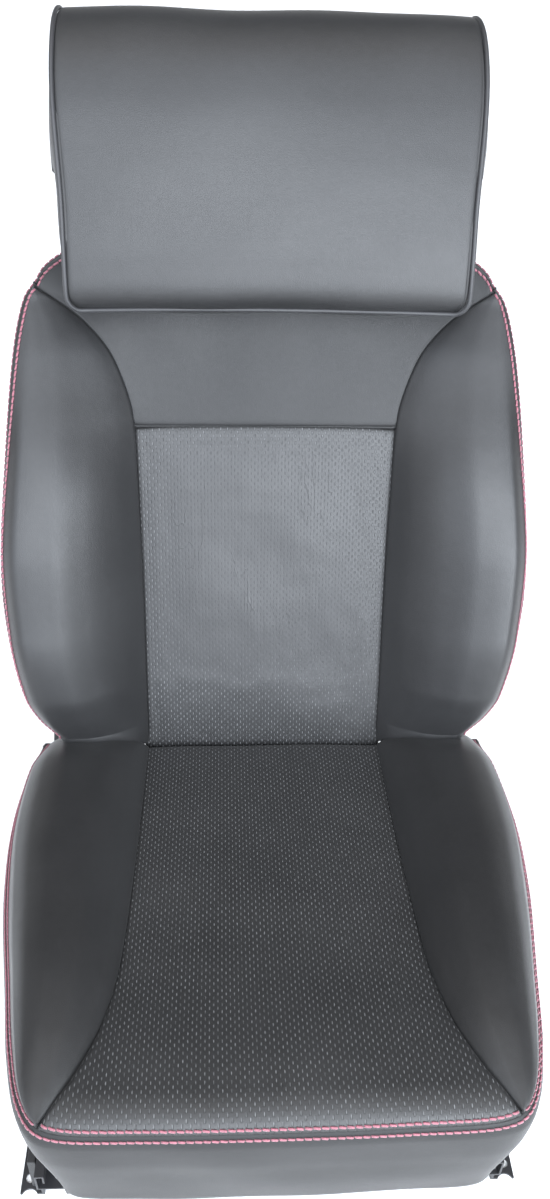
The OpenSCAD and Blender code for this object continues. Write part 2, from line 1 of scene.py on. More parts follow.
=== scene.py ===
"""Looks of a reclining sports car seat: perforated and plain leather panels, double
top-stitching, a waterfall headrest, and the steel and plastic parts of its frame.

Soft pieces are grids in the cushion's or the backrest's own frame, in millimetres."""

import json
import math

import bpy
import numpy as np
from mathutils import Matrix, Vector


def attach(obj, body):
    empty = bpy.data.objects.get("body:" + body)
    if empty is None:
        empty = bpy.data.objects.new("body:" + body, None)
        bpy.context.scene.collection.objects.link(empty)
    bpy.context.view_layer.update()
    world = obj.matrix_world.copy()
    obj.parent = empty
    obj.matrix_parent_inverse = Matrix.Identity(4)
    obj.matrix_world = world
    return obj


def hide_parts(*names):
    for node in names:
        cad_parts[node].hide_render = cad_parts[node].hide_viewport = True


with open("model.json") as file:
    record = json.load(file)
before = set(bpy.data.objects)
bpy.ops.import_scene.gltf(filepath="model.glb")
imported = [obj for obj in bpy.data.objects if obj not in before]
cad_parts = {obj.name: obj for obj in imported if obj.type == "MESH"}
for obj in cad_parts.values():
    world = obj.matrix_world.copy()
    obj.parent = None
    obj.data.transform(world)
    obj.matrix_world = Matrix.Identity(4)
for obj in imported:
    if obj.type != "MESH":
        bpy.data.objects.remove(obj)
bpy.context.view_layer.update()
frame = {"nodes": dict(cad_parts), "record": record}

MM = 0.001
scene = bpy.context.scene


# ---------- the two local frames and curves ----------

BIGHT = (0, 0.185, 0.270)  # where the cushion meets the backrest, in metres


def local_frame(tilt):
    turn = Matrix.Rotation(math.radians(tilt), 4, "X")
    return np.array(Matrix.Translation(BIGHT) @ turn @ Matrix.Diagonal((MM, MM, MM, 1)))


CUSHION = local_frame(-4.8)  # x across, y back from the bight, z up from the cushion's middle
BACK = local_frame(-20.0)  # x across, y back from the insert's face, z up along the backrest


def to_row(points, matrix):
    return points @ matrix[:3, :3].T + matrix[:3, 3]


def smooth(x, xs, ys):
    """A cubic through the stations that never overshoots them."""
    xs, ys = np.asarray(xs, float), np.asarray(ys, float)
    h, d = np.diff(xs), np.diff(ys) / np.diff(xs)
    m = np.zeros_like(ys)
    both = d[1:] * d[:-1]
    m[1:-1] = np.where(both > 0, 2 * both / np.where(both > 0, d[1:] + d[:-1], 1), 0)
    m[0], m[-1] = d[0], d[-1]
    x = np.clip(np.asarray(x, float), xs[0], xs[-1])
    i = np.clip(np.searchsorted(xs, x, side="right") - 1, 0, len(h) - 1)
    t = (x - xs[i]) / h[i]
    return ((2 * t**3 - 3 * t**2 + 1) * ys[i] + (t**3 - 2 * t**2 + t) * h[i] * m[i]
            + (3 * t**2 - 2 * t**3) * ys[i + 1] + (t**3 - t**2) * h[i] * m[i + 1])


def spline(points, count, closed=False):
    """Points evenly spaced along a centripetal Catmull-Rom curve."""
    p = np.asarray(points, float)
    if closed:
        p = np.vstack([p[-1], p, p[0], p[1]])
    else:
        p = np.vstack([2 * p[0] - p[1], p, 2 * p[-1] - p[-2]])
    out = []
    for a, b, c, d in zip(p[:-3], p[1:-2], p[2:-1], p[3:]):
        t = np.cumsum([0] + [max(np.linalg.norm(q - r), 1e-6) ** 0.5 for q, r in ((b, a), (c, b), (d, c))])
        u = np.linspace(t[1], t[2], 24, endpoint=False)[:, None]

        def blend(q, r, i, j):
            return (t[j] - u) / (t[j] - t[i]) * q + (u - t[i]) / (t[j] - t[i]) * r

        middle = blend(b, c, 1, 2)
        before = blend(blend(a, b, 0, 1), middle, 0, 2)
        after = blend(middle, blend(c, d, 2, 3), 1, 3)
        out.append(blend(before, after, 1, 2))
    out = np.vstack(out + [p[-2:-1]])
    return resample(out, count)


def resample(p, count):
    at = np.concatenate([[0], np.cumsum(np.linalg.norm(np.diff(p, axis=0), axis=1))])
    want = np.linspace(0, at[-1], count)
    return np.stack([np.interp(want, at, p[:, k]) for k in range(p.shape[1])], axis=1)


def gap_to(points, line):
    """Distance from each flat point to the nearest point of a line."""
    flat = points.reshape(-1, 1, 2)
    return np.sqrt(((flat - line[None]) ** 2).sum(axis=2).min(axis=1)).reshape(points.shape[:2])


def eased(count):
    """0 to 1, closer together near both ends, where the seams are."""
    return 0.5 - 0.5 * np.cos(np.linspace(0, math.pi, count))


def step(x, a, b):
    t = np.clip((x - a) / (b - a), 0, 1)
    return t * t * (3 - 2 * t)


# ---------- sewn panels ----------

def lengths(P, axis):
    """Distance along the panel's own surface from its first row or column."""
    d = np.linalg.norm(np.diff(P, axis=axis), axis=2)
    total = np.cumsum(d, axis=axis)
    pad = np.zeros_like(np.take(total, [0], axis=axis))
    return np.concatenate([pad, total], axis=axis)


def normals(P):
    n = np.cross(np.gradient(P, axis=1), np.gradient(P, axis=0))
    size = np.linalg.norm(n, axis=2, keepdims=True)
    return n / np.maximum(size, 1e-9)


def edge_distance(P):
    u, v = lengths(P, 1), lengths(P, 0)
    return {"u0": u, "u1": u[:, -1:] - u, "v0": v, "v1": v[-1:] - v}


def sewn(P, seams, swell=0.0, relief=None):
    """Rolls the panel in at its seams, {edge: (radius, depth)}, and swells it between them."""
    d, n = edge_distance(P), normals(P)
    room = np.ones(P.shape[:2])
    out = np.zeros(P.shape[:2])
    for edge, (radius, depth) in seams.items():
        near = 1 - np.clip(d[edge] / radius, 0, 1)
        width = d[edge] + d[edge[0] + ("1" if edge[1] == "0" else "0")]
        fit = np.clip(width / (4 * radius), 0.15, 1)
        out -= depth * fit * (1 - np.sqrt(np.maximum(1 - near**2, 0)))
        room *= 1 - np.exp(-d[edge] / 35)
    out += swell * room
    if relief is not None:
        out += relief * room
    near = np.min([d[e] for e in seams], axis=0)
    return P + out[..., None] * n, near


def waves(P, size, wavelength, seed):
    """Soft unevenness, as a sum of a few long waves."""
    r = np.random.default_rng(seed)
    total = np.zeros(P.shape[:2])
    for _ in range(7):
        k = r.normal(size=3)
        k *= 2 * math.pi / (wavelength * r.uniform(0.7, 1.6)) / np.linalg.norm(k)
        total += np.sin(P @ k + r.uniform(0, 6.3))
    return total * size / 2.6


def new_object(name, verts, faces, material, body):
    mesh = bpy.data.meshes.new(name)
    mesh.from_pydata([tuple(v) for v in verts], [], faces)
    mesh.update()
    mesh.polygons.foreach_set("use_smooth", [True] * len(mesh.polygons))
    mesh.materials.append(material)
    obj = bpy.data.objects.new(name, mesh)
    scene.collection.objects.link(obj)
    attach(obj, body)
    return obj


def attribute(obj, name, values):
    values = np.asarray(values, float)
    kind = "FLOAT" if values.ndim == 1 else "FLOAT_VECTOR"
    made = obj.data.attributes.new(name, kind, "POINT")
    made.data.foreach_set("value" if kind == "FLOAT" else "vector", values.ravel())


def add_shell(obj, thickness):
    shell = obj.modifiers.new("shell", "SOLIDIFY")
    shell.thickness, shell.offset = thickness, -1


def panel(name, P, matrix, material, body, sew=None, near=None, wrap=False, thick=6.0, cap=False):
    """A sewn panel as a shell: P is (rows, columns, 3); sew is its flat pattern in millimetres.

    wrap joins the last column to the first; cap closes the first row, the middle of a fan."""
    rows, cols = P.shape[:2]
    index = np.arange(rows * cols).reshape(rows, cols)
    if wrap:
        index = np.concatenate([index, index[:, :1]], axis=1)
    a, b, c, d = index[:-1, :-1], index[:-1, 1:], index[1:, 1:], index[1:, :-1]
    faces = np.stack([a, b, c, d], axis=-1).reshape(-1, 4).tolist()
    if cap:
        faces.append(index[0, :cols][::-1].tolist())
    obj = new_object(name, to_row(P.reshape(-1, 3), matrix), faces, material, body)
    flat = P[..., [0, 2, 1]] if sew is None else sew
    attribute(obj, "sew", flat.reshape(-1, 3))
    attribute(obj, "seam_near", (np.full((rows, cols), 99.0) if near is None else near).ravel())
    add_shell(obj, thick * MM)
    return obj


def mirrored(P):
    """The same panel on the other side, wound so that it still faces out."""
    return (P * [-1, 1, 1])[:, ::-1]


# ---------- stitches ----------

def seam_row(P, edge, distance, skip=(0, 0)):
    """The line on a panel at a distance from one edge, and the panel's normals along it."""
    d, n = edge_distance(P)[edge], normals(P)
    if edge[0] == "v":
        P, d, n = P.swapaxes(0, 1), d.T, n.swapaxes(0, 1)
    if edge[1] == "1":
        P, d, n = P[:, ::-1], d[:, ::-1], n[:, ::-1]
    keep = [k for k in range(len(P)) if d[k, -1] > distance]
    keep = keep[skip[0]: len(keep) - skip[1]]
    at = [[np.interp(distance, d[k], P[k, :, j]) for j in range(3)] for k in keep]
    up = [[np.interp(distance, d[k], n[k, :, j]) for j in range(3)] for k in keep]
    return np.array(at), np.array(up)


def stitches(line, up, pitch, length, radius, lift=0.55, slant=0.4):
    """Thread bars along a line, each dipping into the leather at both its ends."""
    at = np.concatenate([[0], np.cumsum(np.linalg.norm(np.diff(line, axis=0), axis=1))])
    count = max(int(at[-1] // pitch), 1)
    gap = at[-1] / count
    rings, sides = 9, 8
    t = np.sin(np.linspace(-1, 1, rings) * math.pi / 2)
    verts, faces = [], []
    for k in range(count):
        where = (k + 0.5) * gap + t * length / 2
        p = np.stack([np.interp(where, at, line[:, j]) for j in range(3)], axis=1)
        n = np.stack([np.interp(where, at, up[:, j]) for j in range(3)], axis=1)
        n /= np.linalg.norm(n, axis=1, keepdims=True)
        along = p[-1] - p[0]
        along /= np.linalg.norm(along)
        side = np.cross(along, n)
        side /= np.linalg.norm(side, axis=1, keepdims=True)
        rise = lift - radius * t**12
        p = p + n * rise[:, None] + side * (slant * t)[:, None]
        size = radius * np.sqrt(np.maximum(1 - np.abs(t) ** 9, 0.05))
        turn = np.linspace(0, 2 * math.pi, sides, endpoint=False)
        ring = (p[:, None] + size[:, None, None] * (
            side[:, None] * np.cos(turn)[None, :, None] * 1.15
            + n[:, None] * np.sin(turn)[None, :, None] * 0.8))
        base = len(verts) * rings * sides
        verts.append(ring.reshape(-1, 3))
        for i in range(rings - 1):
            for j in range(sides):
                a, b = base + i * sides + j, base + i * sides + (j + 1) % sides
                faces.append((a, a + sides, b + sides, b))
        faces.append(tuple(base + j for j in range(sides)))
        faces.append(tuple(base + (rings - 1) * sides + j for j in reversed(range(sides))))
    return np.vstack(verts), faces


def stitched(name, rows, matrix, body, pitch=7.0, length=6.7, radius=1.05):
    """One piece of thread work made of several rows, each (points, normals)."""
    verts, faces = [], []
    for line, up in rows:
        v, f = stitches(line, up, pitch, length, radius)
        start = sum(len(x) for x in verts)
        verts.append(v)
        faces += [tuple(i + start for i in face) for face in f]
    return new_object(name, to_row(np.vstack(verts), matrix), faces, thread, body)


def tube(name, line, radius, matrix, material, body, sides=12):
    """A closed round cord along a line, used for piping."""
    along = np.gradient(line, axis=0)
    along /= np.linalg.norm(along, axis=1, keepdims=True)
    side = np.cross(along[0], [0.3, 0.2, 1.0])
    rings = []
    turn = np.linspace(0, 2 * math.pi, sides, endpoint=False)
    for p, t in zip(line, along):
        side = side - t * (side @ t)
        side /= np.linalg.norm(side)
        other = np.cross(t, side)
        rings.append(p + radius * (np.outer(np.cos(turn), side) + np.outer(np.sin(turn), other)))
    faces = [(i * sides + j, i * sides + (j + 1) % sides, (i + 1) * sides + (j + 1) % sides,
              (i + 1) * sides + j) for i in range(len(line) - 1) for j in range(sides)]
    faces += [tuple(reversed(range(sides))), tuple((len(line) - 1) * sides + j for j in range(sides))]
    return new_object(name, to_row(np.vstack(rings), matrix), faces, material, body)


# ---------- materials ----------

class Nodes:
    """A node tree, with short calls for what repeats."""

    def __init__(self, tree, place):
        self.tree = tree
        self.place = self.add("ShaderNodeTexCoord").outputs[place]

    def set(self, node, inputs):
        for key, value in inputs.items():
            socket = node.inputs[key]
            if isinstance(value, bpy.types.NodeSocket):
                self.tree.links.new(value, socket)
            else:
                socket.default_value = value

    def add(self, kind, inputs=None, **props):
        node = self.tree.nodes.new(kind)
        for key, value in props.items():
            setattr(node, key, value)
        self.set(node, inputs or {})
        return node

    def math(self, op, a, b=0.0):
        return self.add("ShaderNodeMath", {0: a, 1: b}, operation=op).outputs[0]

    def times(self, a, b):
        return self.math("MULTIPLY", a, b)

    def plus(self, a, b):
        return self.math("ADD", a, b)

    def noise(self, scale, detail=3.0, rough=0.5, place=None):
        inputs = {"Vector": place or self.place, "Scale": scale, "Detail": detail, "Roughness": rough}
        return self.add("ShaderNodeTexNoise", inputs).outputs[0]

    def cells(self, scale, feature="F1"):
        inputs = {"Vector": self.place, "Scale": scale}
        return self.add("ShaderNodeTexVoronoi", inputs, feature=feature).outputs["Distance"]

    def span(self, value, a, b, c, d, smooth_step=False):
        kind = "SMOOTHSTEP" if smooth_step else "LINEAR"
        inputs = {"Value": value, "From Min": a, "From Max": b, "To Min": c, "To Max": d}
        return self.add("ShaderNodeMapRange", inputs, interpolation_type=kind).outputs[0]

    def mix(self, factor, a, b):
        node = self.add("ShaderNodeMix", data_type="RGBA")
        self.set(node, {0: factor, 6: a, 7: b})
        return node.outputs[2]

    def bump(self, height, distance, strength=1.0, normal=None):
        inputs = {"Height": height, "Distance": distance, "Strength": strength}
        if normal is not None:
            inputs["Normal"] = normal
        return self.add("ShaderNodeBump", inputs).outputs[0]


class Shader(Nodes):
    """The nodes of a new material."""

    def __init__(self, name, colour, roughness, metallic=0.0):
        self.material = bpy.data.materials.new(name)
        self.material.use_nodes = True
        self.material.diffuse_color = (*colour, 1)
        super().__init__(self.material.node_tree, "Object")
        self.surface = self.tree.nodes["Principled BSDF"]
        self.set(self.surface, {"Base Color": (*colour, 1), "Roughness": roughness, "Metallic": metallic})


def shade(colour, by):
    return (*[c * by for c in colour], 1)


def leather(name, colour, roughness, gloss, perforated=False):
    """Grained leather, darker in its seams. A perforated one has holes painted lighter than the leather as
    glints, and creases;
    where an attribute marks it, it has painted sheen: a lighter base, shallower holes and fainter glints."""
    s = Shader(name, colour, roughness)
    s.set(s.surface, {"Sheen Weight": 0.04, "Sheen Roughness": 0.45, "Specular IOR Level": gloss})
    cloud = s.noise(5.0, 4.0, 0.6)
    fleck = s.noise(160.0, 2.0)
    near = s.add("ShaderNodeAttribute", attribute_name="seam_near").outputs["Fac"]
    seam = s.span(near, 0.0, 9.0, 1.0, 0.0, True)
    tone = s.mix(s.span(cloud, 0.3, 0.7, 0.0, 1.0), shade(colour, 0.82), shade(colour, 1.2))
    tone = s.mix(s.times(s.span(fleck, 0.35, 0.7, 0.0, 1.0), 0.18), tone, shade(colour, 1.9))
    tone = s.mix(s.times(seam, 0.45), tone, shade(colour, 0.55))
    rough = s.plus(s.span(cloud, 0.3, 0.7, roughness - 0.05, roughness + 0.06),
                   s.times(seam, 0.1))
    grain = s.cells(760.0, "DISTANCE_TO_EDGE")
    grain = s.span(grain, 0.0, 0.25, 0.0, 1.0, True)
    fine = s.noise(1900.0, 2.0)
    height = s.plus(s.times(grain, 0.6), s.times(fine, 0.5))
    normal = s.bump(height, 0.00012, 0.7)
    normal = s.bump(s.noise(38.0, 3.0), 0.0012, 0.22, normal)
    if perforated:
        flat = s.add("ShaderNodeAttribute", attribute_name="sew").outputs["Vector"]
        xyz = s.add("ShaderNodeSeparateXYZ", {0: flat}).outputs
        row = s.math("DIVIDE", xyz[1], ROW_PITCH)
        number = s.math("FLOOR", row)
        down = s.times(s.math("SUBTRACT", s.math("SUBTRACT", row, number), 0.5), ROW_PITCH)
        shift = s.times(s.math("PINGPONG", number, 1.0), 0.5)
        across = s.plus(s.math("DIVIDE", xyz[0], HOLE_PITCH), shift)
        across = s.math("SUBTRACT", s.math("FRACT", across), 0.5)
        across = s.times(across, HOLE_PITCH)
        ax = s.math("POWER", s.math("DIVIDE", s.math("ABSOLUTE", across), 0.62), 2.0)
        ay = s.math("POWER", s.math("DIVIDE", s.math("ABSOLUTE", down), 1.9), 2.0)
        d = s.math("SQRT", s.plus(ax, ay))
        open_ = s.times(s.span(d, 0.65, 1.1, 1.0, 0.0, True), s.span(xyz[1], 6.5, 7.0, 0.0, 1.0))
        uneven = s.span(s.noise(210.0, 1.0), 0.35, 0.65, 0.3, 1.0)
        # Region of creases and painted sheen, broken up by noise.
        creases_and_sheen = s.add("ShaderNodeAttribute", attribute_name="creases_and_sheen").outputs["Fac"]
        creases_and_sheen = s.times(creases_and_sheen, s.span(s.noise(14.0, 3.0), 0.3, 0.6, 0.75, 1.0))
        # Painted sheen: the hole glints fade in that region.
        uneven = s.times(uneven, s.span(creases_and_sheen, 0.0, 1.0, 1.0, 0.12))
        # Painted glint in the holes.
        tone = s.mix(s.times(open_, uneven), tone, HOLE_GLINT_COLOUR)
        dimple = s.span(d, 0.7, 2.0, 0.0, 1.0, True)
        depth = s.span(creases_and_sheen, 0.0, 1.0, 1.0, 0.25)
        normal = s.bump(s.times(dimple, depth), 0.0007, 0.6, normal)
        slope = s.add("ShaderNodeMapping", {"Vector": flat, "Rotation": (0, 0, math.radians(-24)),
                                            "Scale": (0.03, 0.008, 1)}).outputs[0]
        rumple = s.times(s.noise(1.0, 4.0, 0.55, slope), creases_and_sheen)
        normal = s.bump(rumple, 0.0035, 0.5, normal)
        line = s.math("ABSOLUTE", s.math("SUBTRACT", s.noise(1.9, 2.0, 0.5, slope), 0.5))
        line = s.times(s.span(line, 0.0, 0.012, 1.0, 0.0, True),
                      s.span(s.noise(0.8, 1.0, 0.5, slope), 0.5, 0.6, 0.0, 1.0))
        line = s.times(line, creases_and_sheen)
        normal = s.bump(line, 0.0006, 0.5, normal)
        # Painted shade: the crease lines are darker.
        tone = s.mix(s.times(line, 0.12), tone, shade(colour, 0.6))
        # Painted sheen: a lighter base in that region.
        tone = s.mix(s.times(creases_and_sheen, 0.6), tone, shade(colour, 1.6))
        rough = s.plus(rough, s.times(open_, 0.3))
    s.set(s.surface, {"Base Color": tone, "Roughness": rough, "Normal": normal})
    return s.material


def plastic(name, colour, roughness=0.5, grain=1400.0):
    s = Shader(name, colour, roughness)
    cloud = s.noise(9.0, 3.0)
    tone = s.mix(s.span(cloud, 0.3, 0.7, 0.0, 1.0), shade(colour, 0.85), shade(colour, 1.25))
    pits = s.span(s.cells(grain), 0.0, 0.7, 0.0, 1.0)
    height = s.plus(pits, s.times(s.noise(grain * 0.6, 2.0), 0.8))
    s.set(s.surface, {"Base Color": tone, "Normal": s.bump(height, 0.00018, 0.55),
                      "Roughness": s.span(cloud, 0.3, 0.7, roughness - 0.06, roughness + 0.08)})
    return s.material


def metal(name, colour, roughness, wear=0.5, scale=60.0, metallic=1.0, bump=0.00005):
    s = Shader(name, colour, roughness, metallic)
    cloud, fine = s.noise(14.0, 4.0, 0.6), s.noise(scale, 3.0, 0.7)
    patch = s.span(s.cells(scale * 2), 0.0, 0.8, 0.0, 1.0)
    tone = s.mix(s.times(s.span(cloud, 0.35, 0.7, 0.0, 1.0), wear), shade(colour, 1.0),
                 shade(colour, 0.7))
    tone = s.mix(s.times(patch, 0.25 * wear), tone, shade(colour, 1.25))
    rough = s.plus(s.span(fine, 0.3, 0.7, roughness * 0.85, roughness * 1.2),
                   s.times(s.span(cloud, 0.4, 0.7, 0.0, 1.0), 0.08 * wear))
    s.set(s.surface, {"Base Color": tone, "Roughness": rough,
                      "Normal": s.bump(s.plus(fine, s.noise(scale * 9, 2.0)), bump, 0.5)})
    return s.material


def open_cell_foam(name, colour):
    s = Shader(name, colour, 0.95)
    holes = s.span(s.cells(420.0), 0.0, 0.7, 0.0, 1.0)
    tone = s.mix(holes, shade(colour, 0.55), shade(colour, 1.3))
    tone = s.mix(s.times(s.noise(12.0, 3.0), 0.3), tone, shade(colour, 1.7))
    s.set(s.surface, {"Base Color": tone, "Normal": s.bump(holes, 0.0009, 0.6)})
    return s.material


def sewing_thread(name, colour):
    s = Shader(name, colour, 0.5)
    s.set(s.surface, {"Sheen Weight": 0.4, "Sheen Roughness": 0.4})
    strands = s.noise(700.0, 2.0)
    tone = s.mix(s.span(strands, 0.3, 0.7, 0.0, 1.0), shade(colour, 0.6), shade(colour, 1.25))
    s.set(s.surface, {"Base Color": tone, "Normal": s.bump(strands, 0.0004, 0.6)})
    return s.material


HOLE_PITCH, ROW_PITCH = 7.65, 3.9  # millimetres between holes in a row, and between rows
# Painted glint: the holes are lighter than the leather round them.
HOLE_GLINT_COLOUR = (0.10, 0.102, 0.104, 1)
plain_leather = leather("plain_leather", (0.011, 0.011, 0.0115), 0.40, 0.44)
# Painted shade: a less glossy copy of the plain leather, so that the yoke under the headrest and the
# cushion's skirt come out darker.
shaded_copy_leather = leather("shaded_copy_leather", (0.011, 0.011, 0.0115), 0.44, 0.30)
insert_leather = leather("perforated_leather", (0.014, 0.014, 0.0145), 0.44, 0.50, perforated=True)
piping_leather = leather("piping_leather", (0.020, 0.020, 0.022), 0.38, 0.5)
thread = sewing_thread("red_thread", (0.21, 0.062, 0.085))
finishes = {
    "black_steel": metal("black_painted_steel", (0.016, 0.016, 0.018), 0.38, 0.8, 90.0, 0.0, 0.00012),
    "zinc_steel": metal("zinc_plated_steel", (0.56, 0.56, 0.53), 0.34, 0.7),
    "spring_steel": metal("spring_steel", (0.30, 0.30, 0.30), 0.3, 0.9, 120.0),
    "post_chrome": metal("chromed_post", (0.78, 0.79, 0.80), 0.12, 0.15, 300.0, 1.0, 0.00001),
    "plastic": plastic("moulded_plastic", (0.017, 0.017, 0.018), 0.5),
    "cage_plastic": plastic("cage_plastic", (0.05, 0.05, 0.052), 0.45, 1800.0),
    "leather_plain": plain_leather,
    "leather_perforated": insert_leather,
    "piping": piping_leather,
    "foam": open_cell_foam("charcoal_foam", (0.020, 0.020, 0.021)),
}


# ---------- the cushion ----------

LAP = 0.9  # how far neighbouring panels reach into each other at a plain seam
SEAM_Z = -7.0  # height of the double-stitched seam round the cushion
ROW = 6.0  # from that seam to each of its two rows of stitches

half = np.array([[266, -6], [279, -48], [283, -130], [273, -230], [253, -335], [239, -405],
                 [223, -455], [208, -476], [190, -484], [110, -488], [0, -489]], float)
outline = spline(np.vstack([half, (half * [-1, 1])[-2::-1]]), 2401)
right_half = outline[:1201]
INSERT_Y = [4, 150, 308, 385, 438, 478.5]
INSERT_X = [140, 142, 147, 158, 177, 203]


def seam_z(y):
    """The stitched seam climbs to the crest at the cushion's rear corners."""
    return SEAM_Z + 20 * np.clip(1 + y / 105, 0, 1) ** 2.2


def outline_x(y):
    return np.interp(-y, -right_half[:, 1], right_half[:, 0])


def outline_y(x):
    tail = right_half[int(np.argmax(right_half[:, 0])):]
    return np.interp(-np.abs(x), -tail[:, 0], tail[:, 1])


def insert_x(y):
    return smooth(-y, INSERT_Y, INSERT_X)


def cushion_insert():
    u, v = 2 * eased(84) - 1, eased(150)[::-1]
    U, V = np.meshgrid(u, v)
    front = outline_y(203 * U)
    Y = CUSHION_REAR + (front - CUSHION_REAR) * V
    X = U * (insert_x(Y) + LAP * (1 - V**8) + 3.5 * step(Y, -12, -4))
    lip = np.clip(1 - (Y - front) / 32, 0, 1)
    dish = 2.2 * (1 - U**2) * np.sin(math.pi * np.clip(V, 0, 1)) ** 0.5
    Z = dish + 6.5 * step(-Y, 330, 440) + (SEAM_Z - 6.5) * (1 - np.sqrt(1 - 0.96 * lip**2)) / 0.8
    P = np.stack([X, Y, Z - 1.0 * (1 - U**2) * step(-Y, 60, 200)], axis=-1)
    back_roll = np.clip(1 - (CUSHION_REAR - Y) / 16, 0, 1)
    P[..., 2] -= 15 * (1 - np.sqrt(1 - back_roll**2))
    relief = waves(P, 0.9, 130, 3)
    side = 1.0 + 1.6 * step(V[:, :1], 0, 0.3)
    return sewn(P, {"u0": (4.5, side), "u1": (4.5, side), "v0": (3.6, 2.0)}, 1.6, relief)


BOLSTER_Y = [6, 62, 130, 230, 335, 405, 455, 478]
BOLSTER_H = [27, 37, 39, 39, 34, 25, 11, 1.5]
CUSHION_TUCK = ((2.0, 1.2), (2.5, 4), (1, 9), (-3, 20), (-5, 34), (1, 48), (3, 60))  # back, drop of each row
CUSHION_REAR = 4  # y where the middle panel ends in the bight
AWAY = 30.0  # a seam distance that counts as none


def cushion_bolster():
    """Rows from the tip to the rear end and down behind it; columns from the inner seam out."""
    t = eased(64)
    y = -6 - 472 * eased(150)[::-1]
    T, Y = np.meshgrid(t, y)
    knots = [0, 0.14, 0.32, 0.5, 0.68, 0.84, 0.94, 1]
    wide = smooth(T, knots, [0, 0.14, 0.37, 0.6, 0.80, 0.915, 0.965, 1.0])
    tall = smooth(T, knots, [0, 0.52, 0.93, 1.0, 0.80, 0.47, 0.24, 0.0])
    inner, outer = insert_x(Y) - LAP, outline_x(Y)
    h = smooth(-Y, BOLSTER_Y, BOLSTER_H)
    rear = np.clip(1 - (-6 - Y) / 18, 0, 1)
    h = h * (1 - 0.12 * (1 - np.sqrt(1 - rear**2)))
    Z = np.maximum(tall * h, 0.9 * T * seam_z(Y)) + np.minimum(seam_z(Y), 0) * step(T, 0.86, 1)
    P = np.stack([inner + wide * (outer - inner), Y, Z], axis=-1)
    relief = waves(P, 1.1, 120, 5)
    P, near = sewn(P, {"u0": (5, 2.4), "u1": (4, 2.0)}, 1.0, relief)
    under = []
    for back, drop in CUSHION_TUCK:
        row = P[-1].copy()
        row[:, 1] += back
        row[:, 2] = np.minimum(row[:, 2], 60) - drop * np.clip((row[:, 2] + 66) / 66, 0.2, 1.4)
        under.append(row)
    return np.concatenate([P, np.array(under)]), np.concatenate([near, np.full((len(under), 64), AWAY)])


def cushion_skirt():
    """Rows from the seam down; columns along the outline from the sitter's left to the right."""
    path = resample(outline[(outline[:, 1] < -26)], 640)
    q = np.concatenate([[0], np.cumsum(np.linalg.norm(np.diff(path, axis=0), axis=1))])
    q = np.abs(q - q[-1] / 2)
    along = np.gradient(path, axis=0)
    along /= np.linalg.norm(along, axis=1, keepdims=True)
    out = np.stack([along[:, 1], -along[:, 0]], axis=1)
    out *= np.sign(np.sum(out * (path - [0, -200]), axis=1))[:, None]
    bottom = -116 + 38 * step(q, 196, 264)
    v = np.concatenate([0.16 * eased(15)[:-1], np.linspace(0.16, 1, 26)])[:, None]
    top = seam_z(path[:, 1]) * (path[:, 1] > -200) + SEAM_Z * (path[:, 1] <= -200)
    z = top + (bottom - top) * v
    at = [7, 22, 45, 62, 81, 116]
    front = smooth(-z, at, [0, 3, 2.5, 1, -1, -7])
    corner = smooth(-z, at, [0, 5.5, 2.5, -2, -8, -22])
    side = smooth(-z, at, [0, 5.5, 3, -2, -7, -20])
    c = np.exp(-((q - 222) / 26) ** 2)
    offset = (front * (1 - step(q, 190, 250)) + side * step(q, 190, 250)) * (1 - c) + corner * c
    xy = path[None] + out[None] * offset[..., None]
    P = np.concatenate([xy, z[..., None]], axis=-1)
    relief = waves(P, 0.8, 90, 8)
    P, near = sewn(P, {"v0": (4, 2.0)}, 0.0, relief)
    hem = P[-1][None] + np.stack([-out[:, 0], -out[:, 1], 0 * q], axis=-1)[None] * [[[1.5]], [[4.5]]]
    hem[0, :, 2] -= 1.6
    hem[1, :, 2] -= 1.2
    return np.concatenate([P, hem]), np.concatenate([near, near[-2:]])


insert_P, insert_near = cushion_insert()
bolster_P, bolster_near = cushion_bolster()
skirt_P, skirt_near = cushion_skirt()


# ---------- the backrest ----------

BACK_T = [0, 0.2, 0.42, 0.62, 0.85, 1]  # stations across the bolster, from its inner seam out
LOW_S = [-1, 8, 18, 20, 22, 26]  # height of its lower edge at these stations
BACK_TUCK = (1.0, 0.8, 0.6, 0.4, 0.2, 0.07)  # how far back each row under that edge runs
BOLSTER_TOP = 537
BACK_S = [30, 60, 90, 165, 243, 368, 465, 508, 528, 537]
BACK_OUT = [246, 265, 276, 287, 290, 280, 271, 264, 258, 251.5]
BACK_H = [42, 63, 78, 90, 90, 70, 40, 21, 12, 10]
SEAM_S = [30, 90, 165, 243, 368, 391, 408, 437, 470, 498, 516, 537]
SEAM_X = [141, 141.2, 141.8, 142.8, 146, 147, 149, 157, 171, 193, 214, 247]
SHOULDER = np.array([[247.5, 8, 541], [238, 8, 556], [217, 8, 571], [180, 8, 584], [110, 8, 594],
                     [0, 8, 598]], float)  # x, forward, up along the top of the yoke
REAR_EDGE = [[218, 33], [230, 62], [243, 92], [257, 165], [262, 243], [260, 368], [254, 465],
             [249, 505], [245, 522], [242, 530], [238, 538], [231, 550], [215, 566], [180, 583],
             [110, 593], [0, 597]]
YOKE_SEAM = [[x, s] for x, s in zip(SEAM_X, SEAM_S) if s > 390]
YOKE_LOW = 391  # where the yoke begins, above the insert
YOKE_S = SEAM_S[5:] + [556, 571, 584, 594, 598]
YOKE_X = SEAM_X[5:] + [238, 217, 180, 110, 4]


def sink(s):
    """The backrest's face falls back towards the bight."""
    return 6.5 * np.clip(1 - s / 90, 0, 1) ** 1.7


